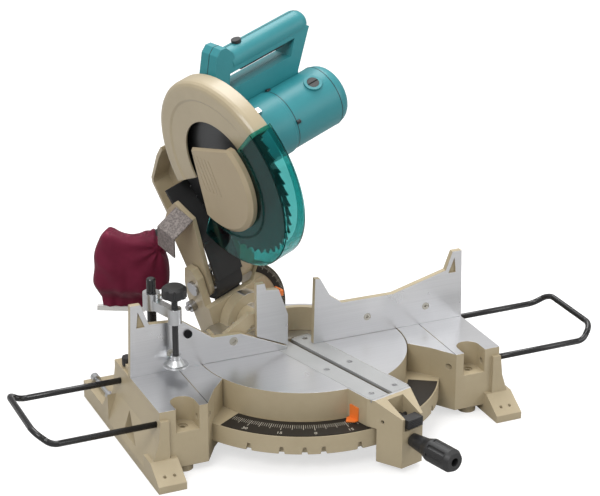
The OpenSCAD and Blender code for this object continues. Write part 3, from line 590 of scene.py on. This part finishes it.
# %% Mitre scale marks
SCALE_TOP, MARKS_FROM, NUMBERS_AT, NUMBER_HIGH = 0.0662, 0.1895, 0.2205, 0.0098
SCALE_ZERO = -17.9  # the pointer sits this far beside the nose, and so does the zero
MITRE_MARKS, MITRE_NUMBERS = range(-39, 49), range(-30, 46, 15)
LONG_MARK, MIDDLE_MARK, SHORT_MARK = 0.0185, 0.0155, 0.011
BOLD, FINE, INK = 0.0008, 0.0005, 0.0003  # widths of the marks, and their height
shape = bmesh.new()
for degree in MITRE_MARKS:
    length = LONG_MARK if degree % 15 == 0 else MIDDLE_MARK if degree % 5 == 0 else SHORT_MARK
    spoke = rotated(SCALE_ZERO + degree, "Z") @ moved(0, -MARKS_FROM - length / 2, SCALE_TOP)
    add_block(shape, (BOLD if degree % 5 == 0 else FINE, length, INK), spoke)
for degree in MITRE_NUMBERS:
    text = bpy.data.curves.new("number", "FONT")
    text.body, text.size, text.extrude = str(abs(degree)), NUMBER_HIGH, INK / 2
    text.align_x, text.resolution_u = "CENTER", 3
    mesh = final_mesh(into_scene("number", text))
    mesh.transform(rotated(SCALE_ZERO + degree, "Z") @ moved(0, -NUMBERS_AT, SCALE_TOP))
    shape.from_mesh(mesh)
    bpy.data.meshes.remove(mesh)
make_piece("mitre_scale_marks", shape, white_ink, "base", smooth=False)

# %% [markdown]
# The marks of the bevel scale.
# The same marks run round the small sector behind the table, which leans with the head. They are
# drawn in the head's frame, each turned about the bevel axis to its own angle.

# %% Bevel scale marks
BEVEL_ZERO = 24.4  # where the pointer stands when the head is upright
BEVEL_MARKS, TENTH_MARK, BEVEL_MARK = range(-26, 43, 2), 0.008, 0.005
BEVEL_FACE, BEVEL_RIM = 0.1606, 0.0925
shape = bmesh.new()
for degree in BEVEL_MARKS:
    length, width = (TENTH_MARK, BOLD) if degree % 10 == 0 else (BEVEL_MARK, FINE)
    spoke = tilted @ rotated(90 - BEVEL_ZERO + degree, "Y") @ moved(0, BEVEL_FACE, BEVEL_RIM - length / 2)
    add_block(shape, (width, INK, length), spoke)
make_piece("bevel_scale_marks", shape, white_ink, "bevel_frame", smooth=False)

# %% [markdown]
# The carbide tips.
# Each tooth of the blade carries a small brazed block on its cutting face, wider than the plate,
# so that the kerf clears it. One block is drawn and repeated round the axis.

# %% Carbide tips
TEETH, BLADE_RADIUS = 48, 0.1525
TIP_SIZE, TIP_IN, TIP_AHEAD, TIP_HOOK = (0.0032, 0.006, 0.0016), 0.0034, 0.0013, -16
carbide = skin_finish("carbide", (0.30, 0.31, 0.32), (0.40, 0.41, 0.42), (0.6, 0.6, 0.6),
                      (0.25, 0.4), radius=0.0003, Metallic=1.0)
shape = bmesh.new()
for tooth in range(TEETH):
    spoke = at_blade @ rotated(tooth * 360 / TEETH, "X")
    seat = spoke @ moved(0, BLADE_RADIUS - TIP_IN, TIP_AHEAD) @ rotated(TIP_HOOK, "X")
    add_block(shape, TIP_SIZE, seat)
make_piece("carbide_tips", shape, carbide, "blade_set", smooth=False)

# %% [markdown]
# The seam of the grip.
# The grip is two half shells, and where they meet a thin dark line shows. A groove could be cut in
# both shells, but the line is all that is seen, so a ribbon of small blocks follows the outline.

# %% Grip seam
GRIP_BACK, GRIP_UP, GRIP_RADIUS, GRIP_END = 0.110, 0.476, 0.0215, 0.202
GRIP_NECK = [(0.017, 0.440), (0.020, 0.468), (0.034, 0.500),
             (0.044, 0.508), (0.054, 0.507), (0.0613, 0.4975)]
SEAM, PROUD = 0.0009, 0.0003


def aimed(start, place, way, axis="Z", up="Y"):
    """A frame at that place of the start frame, with its axis along the way."""
    return start @ Matrix.Translation(place) @ way.to_track_quat(axis, up).to_matrix().to_4x4()


grip_end = [(GRIP_END + GRIP_RADIUS * sin(radians(t)), GRIP_UP + GRIP_RADIUS * cos(radians(t)))
            for t in range(0, 91, 10)]
outline = GRIP_NECK + grip_end
shape = bmesh.new()
for (x0, z0), (x1, z1) in zip(outline, outline[1:]):
    run = Vector((x1 - x0, 0, z1 - z0))
    middle = ((x0 + x1) / 2, GRIP_BACK, (z0 + z1) / 2)
    add_block(shape, (run.length + PROUD, SEAM, 2 * PROUD), aimed(tilted, middle, run, "X", "Z"))
make_piece("grip_seam", shape, black, "head", smooth=False)

# %% [markdown]
# The seams of the motor.
# The motor is three drums end to end. A small square section is spun into a thin dark band at each
# joint, which stays round where a texture would have to be fitted.

# %% Motor seams
MOTOR_BACK, MOTOR_UP, MOTOR_RADIUS = 0.0699, 0.3552, 0.052
GEAR_JOINT, COVER_JOINT, SUNK = 0.1046, 0.1965, 0.001
at_motor = tilted @ moved(0, MOTOR_BACK, MOTOR_UP)
shape = bmesh.new()
for joint in (GEAR_JOINT, COVER_JOINT):
    low, high = MOTOR_RADIUS - SUNK, MOTOR_RADIUS + PROUD
    corners = [(joint, low), (joint + SEAM, low), (joint + SEAM, high), (joint, high)]
    verts = [shape.verts.new((x, 0, r)) for x, r in corners]
    edges = [shape.edges.new(pair) for pair in zip(verts, verts[1:] + verts[:1])]
    bmesh.ops.spin(shape, geom=verts + edges, cent=(0, 0, 0), axis=(1, 0, 0),
                   angle=radians(360), steps=96, use_merge=True)
bmesh.ops.transform(shape, matrix=at_motor, verts=shape.verts)
make_piece("motor_seams", shape, black, "head", smooth=False)

# %% [markdown]
# The bars at the ends of the table.
# Each is one steel rod bent to a U, with its end raised a little as a stop for long work. A rod like
# this could be a curve with a round bevel. Here its round face is pulled along each straight run and
# spun round the centre of each bend, which is how a bending machine makes it.

# %% Rod helper


def picked(geom, kind):
    """The vertices or the faces among what an operator made."""
    return [item for item in geom if isinstance(item, kind)]


def bent_rod(shape, points, radius, bend):
    """A round rod through the points, with every corner bent to that radius."""
    ways = [(b - a).normalized() for a, b in zip(points, points[1:])]
    bmesh.ops.create_circle(shape, cap_ends=True, segments=24, radius=radius,
                            matrix=aimed(Matrix(), points[0], ways[0]))
    cap, at = shape.faces[:], points[0]
    for k, way in enumerate(ways):
        last = k == len(ways) - 1
        angle = 0.0 if last else way.angle(ways[k + 1])
        stop = points[k + 1] - way * bend * tan(angle / 2)
        made = bmesh.ops.extrude_face_region(shape, geom=cap)["geom"]
        bmesh.ops.translate(shape, vec=stop - at, verts=picked(made, bmesh.types.BMVert))
        cap = picked(made, bmesh.types.BMFace)
        if not last:
            axis = way.cross(ways[k + 1]).normalized()
            centre = stop + axis.cross(way) * bend
            made = bmesh.ops.spin(shape, geom=cap, cent=centre, axis=axis, angle=angle, steps=10,
                                  use_duplicate=False)["geom_last"]
            cap = picked(made, bmesh.types.BMFace)
            at = points[k + 1] + ways[k + 1] * bend * tan(angle / 2)


print("rod helper is ready")

# %% Bent bars
ROD_RADIUS, ROD_BEND, ROD_LEVEL, STOP_LEVEL = 0.005, 0.026, 0.090, 0.109
FRONT_IN, FRONT, REAR_IN, REAR = 0.276, -0.122, 0.250, 0.047
STOP_OUT, BEND_OUT, BEND_IN = 0.490, 0.467, 0.0160
ROUTE = [(FRONT_IN, FRONT, ROD_LEVEL), (BEND_OUT, FRONT, ROD_LEVEL),
         (STOP_OUT, FRONT + BEND_IN, STOP_LEVEL), (STOP_OUT, REAR - BEND_IN, STOP_LEVEL),
         (BEND_OUT, REAR, ROD_LEVEL), (REAR_IN, REAR, ROD_LEVEL)]
for side, body, node in ((-1, "left_bar", "left_holder"), (1, "right_bar", "right_holder")):
    shape = bmesh.new()
    bent_rod(shape, [Vector((side * x, y, z)) for x, y, z in ROUTE], ROD_RADIUS, ROD_BEND)
    rod = make_piece(node + "_rod", shape, black_paint, body)
    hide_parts(node)

# %% [markdown]
# The webs of the fence.
# Each corner window of the fence has a thin painted web inside. The casting's finish goes bare at
# its front face, so the web is a piece of its own in plain paint: a triangle pulled to a plate.

# %% Fence webs
WEB = ((0.282, 0.226), (0.2852, 0.1988), (0.2708, 0.1988))
WEB_FRONT, WEB_THICK = 0.0035, 0.003
shape = bmesh.new()
for side in (-1, 1):
    face = shape.faces.new([shape.verts.new((side * x, WEB_FRONT, z)) for x, z in WEB])
    made = bmesh.ops.extrude_face_region(shape, geom=[face])["geom"]
    bmesh.ops.translate(shape, vec=(0, WEB_THICK, 0), verts=picked(made, bmesh.types.BMVert))
make_piece("fence_webs", shape, cream, "base", smooth=False)

# %% [markdown]
# The screws of the gear case.
# Two dark socket screws hold the motor to the gear case. Each is a drum whose ends are inset and
# pressed in, which makes the socket without cutting one solid from another.

# %% Gear case screws
SCREW_RADIUS, SCREW_LONG, SCREW_SIDES, SCREW_TURNS = 0.0034, 0.007, 18, (74, 167)
SOCKET_RIM, SOCKET_DEEP = 0.0013, 0.0015
shape = bmesh.new()
for turn in SCREW_TURNS:
    seat = at_motor @ rotated(turn, "X") @ moved(GEAR_JOINT + SCREW_LONG / 2, MOTOR_RADIUS, 0)
    drum = bmesh.ops.create_cone(shape, cap_ends=True, segments=SCREW_SIDES, radius1=SCREW_RADIUS,
                                 radius2=SCREW_RADIUS, depth=SCREW_LONG, matrix=seat @ rotated(90, "Y"))
    touching = dict.fromkeys(face for vert in drum["verts"] for face in vert.link_faces)
    ends = [face for face in touching if len(face.verts) == SCREW_SIDES]
    bmesh.ops.inset_individual(shape, faces=ends, thickness=SOCKET_RIM, depth=-SOCKET_DEEP)
make_piece("gear_case_screws", shape, oxide, "head", smooth=False)

# %% [markdown]
# The bead of the guard.
# A round bead stiffens the face of the clear guard. A small circle spun about the blade axis gives
# it, in the guard's own finish, and it opens with the guard.

# %% Guard bead
BEAD_AT, BEAD_RADIUS, GUARD_FACE, GUARD_TOP, GUARD_SWEEP = 0.113, 0.0018, -0.022, 40, 159
shape = bmesh.new()
section = at_blade @ rotated(-GUARD_TOP, "X") @ moved(GUARD_FACE, -BEAD_AT, 0)
bmesh.ops.create_circle(shape, cap_ends=True, segments=12, radius=BEAD_RADIUS, matrix=section)
blade_axis = at_blade.to_3x3() @ Vector((1, 0, 0))
bmesh.ops.spin(shape, geom=shape.faces[:], cent=at_blade.translation, axis=blade_axis,
               angle=radians(GUARD_SWEEP), steps=72, use_duplicate=False)
make_piece("guard_bead", shape, guard_clear, "guard")

# %% [markdown]
# The boot over the head pivot.
# Black rubber closes the space between the flap behind the blade and the arm holder, so that no dust
# reaches the return spring. It is part of a tube round the pivot axis: the head swings about that
# same axis, so a round boot never meets it. A wall section is spun part of the way round, and a
# short apron seals it against the holder.

# %% Pivot boot
BOOT_RADIUS, BOOT_WALL, BOOT_FROM, BOOT_TO = 0.0338, 0.003, -0.0357, 0.0175
BOOT_START, BOOT_SWEEP = radians(20), radians(138)
APRON_BACK, APRON_UP, APRON_THICK, APRON_TALL = -0.0158, -0.035, 0.0036, 0.016
low, high = BOOT_RADIUS - BOOT_WALL, BOOT_RADIUS
shape = bmesh.new()
ring = [shape.verts.new((x, -r * cos(BOOT_START), r * sin(BOOT_START)))
        for x, r in ((BOOT_FROM, low), (BOOT_TO, low), (BOOT_TO, high), (BOOT_FROM, high))]
wall = shape.faces.new(ring)
bmesh.ops.spin(shape, geom=[wall], cent=(0, 0, 0), axis=(1, 0, 0), angle=BOOT_SWEEP, steps=32,
               use_duplicate=False)
apron = moved((BOOT_FROM + BOOT_TO) / 2, APRON_BACK, APRON_UP)
add_block(shape, (BOOT_TO - BOOT_FROM, APRON_THICK, APRON_TALL), apron)
bmesh.ops.transform(shape, matrix=tilted @ moved(0, PIVOT_BACK, PIVOT_UP), verts=shape.verts)
make_piece("pivot_boot", shape, rubber, "bevel_frame", smooth=False)

# %% [markdown]
# The dust bag.
# A slack cloth bag hangs from the nozzle at its upper right and is closed below by a slide-on
# strip. A cloth simulation could puff it out, but a loft is quicker to run and to steer. Its rings
# swell from the thin folded edge to a soft box.

# %% Bag form
BAG_LOW, BAG_HIGH = -0.076, 0.0565
BAG_TALL = BAG_HIGH - BAG_LOW
PINCH, BELLY, CROWN_FROM = 0.13, 0.38, 0.5  # shares of the height: gathers end, widest, top begins
EDGE_WIDTH, EDGE_DEPTH, EDGE_SHIFT = 0.0365, 0.0034, -0.0122  # half sizes and offset of the folded edge
SWELL_WIDTH, SWELL_DEPTH, SWELL_SHIFT = 0.028, 0.029, 0.0146  # what the belly adds to them
CROWN_IN = 0.009
PEAK, PEAK_AT, PEAK_WIDE = 0.010, -0.037, 0.014  # the raised left corner of the top
DIP, DIP_AT, DIP_WIDE = 0.004, 0.004, 0.02  # the hollow beside it
BOX_WIDTH, BOX_DEPTH = 0.7, 0.85  # how square the rings are: 1 is round, less is squarer
BAG_SHIFT, BAG_TURN = (0.012, 0, -0.0026), -24
bag_face = at_bag @ moved(*BAG_SHIFT) @ rotated(BAG_TURN, "Z")


def boxed(angle, power):
    """A cosine squared up towards a box: the power says how much."""
    wave = cos(angle)
    return abs(wave) ** power * (1 if wave > 0 else -1)


def bag_point(share, angle, shrink):
    """A point on the ring at that share of the bag's height; past 1 a ring only rises."""
    level = min(share, 1.0)
    rise = min(1.0, max(0.0, (level - PINCH) / (BELLY - PINCH)))
    swell = rise * rise * (3 - 2 * rise)
    crown = max(0.0, (level - CROWN_FROM) / (1 - CROWN_FROM)) ** 2
    half_width = EDGE_WIDTH + SWELL_WIDTH * swell - CROWN_IN * crown
    half_depth = EDGE_DEPTH + SWELL_DEPTH * swell - CROWN_IN * crown
    across = half_width * shrink * boxed(angle, BOX_WIDTH)
    deep = half_depth * shrink * boxed(angle - radians(90), BOX_DEPTH)
    corner = (PEAK * exp(-((across - PEAK_AT) / PEAK_WIDE) ** 2)
              - DIP * exp(-((across - DIP_AT) / DIP_WIDE) ** 2))
    height = BAG_LOW + BAG_TALL * level + corner * level ** 4
    over = Vector((0, 0, max(0, share - 1) * BAG_TALL))
    return Vector((EDGE_SHIFT + SWELL_SHIFT * swell + across, deep, height)) + over


belly = 2 * (EDGE_WIDTH + SWELL_WIDTH)
print("bag is", round(belly, 3), "m wide at its belly and", round(BAG_TALL, 3), "m tall")

# %% Bag loft
BAG_RINGS, BAG_SIDES = 24, 48
TOP_RINGS = [(1.03, 0.86), (1.04, 0.5)]  # two small rings that round the top off
levels = [(i / BAG_RINGS, 1.0) for i in range(BAG_RINGS + 1)] + TOP_RINGS
angles = [radians(360 * k / BAG_SIDES) for k in range(BAG_SIDES)]
shape = bmesh.new()
loops = [[shape.verts.new(bag_point(share, angle, shrink)) for angle in angles]
         for share, shrink in levels]
for lower, upper in zip(loops, loops[1:]):
    for k in range(BAG_SIDES):
        after = (k + 1) % BAG_SIDES
        shape.faces.new((lower[k], lower[after], upper[after], upper[k]))
shape.faces.new(loops[0])
shape.faces.new(loops[-1])
bmesh.ops.transform(shape, matrix=bag_face, verts=shape.verts)
print("bag lofted from", len(loops), "rings")

# %% [markdown]
# The neck of the bag.
# A short sleeve joins the bag to its nozzle. It is a cone that runs into the loft, and a voxel
# remesh melts the two into one skin of even small faces, which the folds need.

# %% Bag neck
NECK, NECK_WAY = Vector((0.065, -0.0022, 0.0454)), Vector((-0.772, 0.259, -0.581))
NECK_LONG, NECK_OUTER, NECK_INNER = 0.05, 0.0205, 0.032
BAG_VOXEL, BAG_SMOOTHING = 0.003, 5


def remeshed(shape, voxel):
    """A bmesh of the same form, in even faces of the voxel's size."""
    holder = into_scene("bag_form", mesh_from(shape, "bag_form"))
    change = holder.modifiers.new("even", "REMESH")
    change.mode, change.voxel_size = "VOXEL", voxel
    even = bmesh.new()
    even.from_mesh(final_mesh(holder))
    return even


sleeve = aimed(at_bag, NECK + NECK_WAY * NECK_LONG / 2, NECK_WAY)
bmesh.ops.create_cone(shape, cap_ends=True, segments=32, radius1=NECK_OUTER, radius2=NECK_INNER,
                      depth=NECK_LONG, matrix=sleeve)
bmesh.ops.recalc_face_normals(shape, faces=shape.faces)
shape = remeshed(shape, BAG_VOXEL)
for _ in range(BAG_SMOOTHING):
    bmesh.ops.smooth_vert(shape, verts=shape.verts, factor=0.5,
                          use_axis_x=True, use_axis_y=True, use_axis_z=True)
shape.normal_update()
print("bag and neck remeshed to", len(shape.faces), "faces")

# %% [markdown]
# The folds of the bag.
# Folds are pressed in by moving the points along their normals: some fan out from the neck, some
# hang in slanting lines, and small gathers rise from the strip. A bump in the material would shade
# like folds but leave the outline smooth.

# %% Bag folds
FAN, FAN_RAYS, FAN_PHASE, FAN_REACH = 0.0032, 9, 0.6, 0.045
DRAPE, DRAPE_WAVES, DRAPE_WAY, DRAPE_FROM = 0.0013, 170, (0.75, 0.55), 0.05
LUMP, LUMP_CELLS, SWAY, SWAY_CELLS = 0.0024, 24, 1.6, 16
GATHER, GATHER_WAVES, GATHER_RISE = 0.0017, 330, 0.028
STRIP_REACH = 0.03  # nearer to the strip than this, the cloth hardly moves up or down
to_face = bag_face.inverted()
neck = to_face @ at_bag @ NECK


def fold(point):
    """How far a point of the bag is pressed outwards, in metres."""
    gap = Vector((point.x - neck.x, point.z - neck.z))
    fan = FAN * sin(FAN_RAYS * atan2(gap.y, gap.x) + FAN_PHASE) * exp(-gap.length / FAN_REACH)
    sway = noise.noise(point * SWAY_CELLS) * SWAY
    slant = DRAPE_WAY[0] * point.x + DRAPE_WAY[1] * point.z
    drape = DRAPE * sin(DRAPE_WAVES * slant + 2 * sway) + LUMP * noise.noise(point * LUMP_CELLS)
    gather = GATHER * sin(GATHER_WAVES * point.x + sway) * exp((BAG_LOW - point.z) / GATHER_RISE)
    return fan + drape * min(1.0, gap.length / DRAPE_FROM) + gather


for vert in shape.verts:
    point = to_face @ vert.co
    push = (to_face.to_3x3() @ vert.normal) * fold(point)
    push.z *= min(1.0, max(0.0, (point.z - BAG_LOW) / STRIP_REACH))
    vert.co = bag_face @ (point + push)
bag = make_piece("dust_bag_cloth", shape, cloth, "head")
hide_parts("dust_bag")

# %% [markdown]
# The fastener strip.
# A stiff strip slides over the folded lower edge of the bag and closes it. It is a bar with
# rounded edges and a groove, drawn as a box that is inset, pressed in and bevelled.

# %% Fastener strip
STRIP_SIZE, STRIP_ACROSS, STRIP_UNDER = (0.082, 0.009, 0.0085), -0.0155, 0.001
STRIP_RIM, STRIP_GROOVE, STRIP_ROUND = 0.0016, 0.0006, 0.0004
strip_plastic = skin_finish("pale_strip", (0.62, 0.62, 0.60), (0.70, 0.70, 0.68), (0.85, 0.85, 0.83),
                            (0.4, 0.5), radius=0.0005)
shape = bmesh.new()
add_block(shape, STRIP_SIZE, bag_face @ moved(STRIP_ACROSS, 0, BAG_LOW - STRIP_UNDER))
outward = bag_face.to_3x3() @ Vector((0, 1, 0))
sides = [face for face in shape.faces if abs(face.normal.dot(outward)) > 0.9]
bmesh.ops.inset_individual(shape, faces=sides, thickness=STRIP_RIM, depth=-STRIP_GROOVE)
bmesh.ops.bevel(shape, geom=shape.edges[:], offset=STRIP_ROUND, affect="EDGES", segments=2,
                profile=0.5, material=-1)
strip = make_piece("fastener_strip", shape, strip_plastic, "head", smooth=False)
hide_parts("bag_strip")

# %% [markdown]
# The floor.
# A plain sheet on the bench level, with the faintest mottling. It glows a little for the camera alone:
# the background is pale, while the metal mirrors a calmer, greyer floor and keeps its contrast.

# %% Floor
FLOOR_HALF, CAMERA_GLOW = 9, 0.62
pale = skin_finish("pale_floor", (0.44, 0.44, 0.44), (0.47, 0.47, 0.47), (0.5, 0.5, 0.5), (0.6, 0.7),
                   bump=0.0, Emission_Color=(1, 1, 1, 1))
tree, shader = opened(pale)
seen = add(tree, "LightPath").outputs["Is Camera Ray"]
fill(tree, shader, {"Emission Strength": times(tree, seen, CAMERA_GLOW)})
shape = bmesh.new()
bmesh.ops.create_grid(shape, x_segments=1, y_segments=1, size=FLOOR_HALF)
floor = into_scene("floor", mesh_from(shape, "floor"))
floor.data.materials.append(pale)
floor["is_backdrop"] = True
print("floor laid")

# %% [markdown]
# Size, and the end.
# The dressed saw fills the same box as the CAD model, and only cloth may stand a little proud of it.
# Both boxes are printed side by side for comparison.

# %% Size, and the end
visual_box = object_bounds()
for label, box in (("CAD", cad_box), ("visual", visual_box)):
    print(label, "box", [round(x, 4) for corner in box for x in corner])
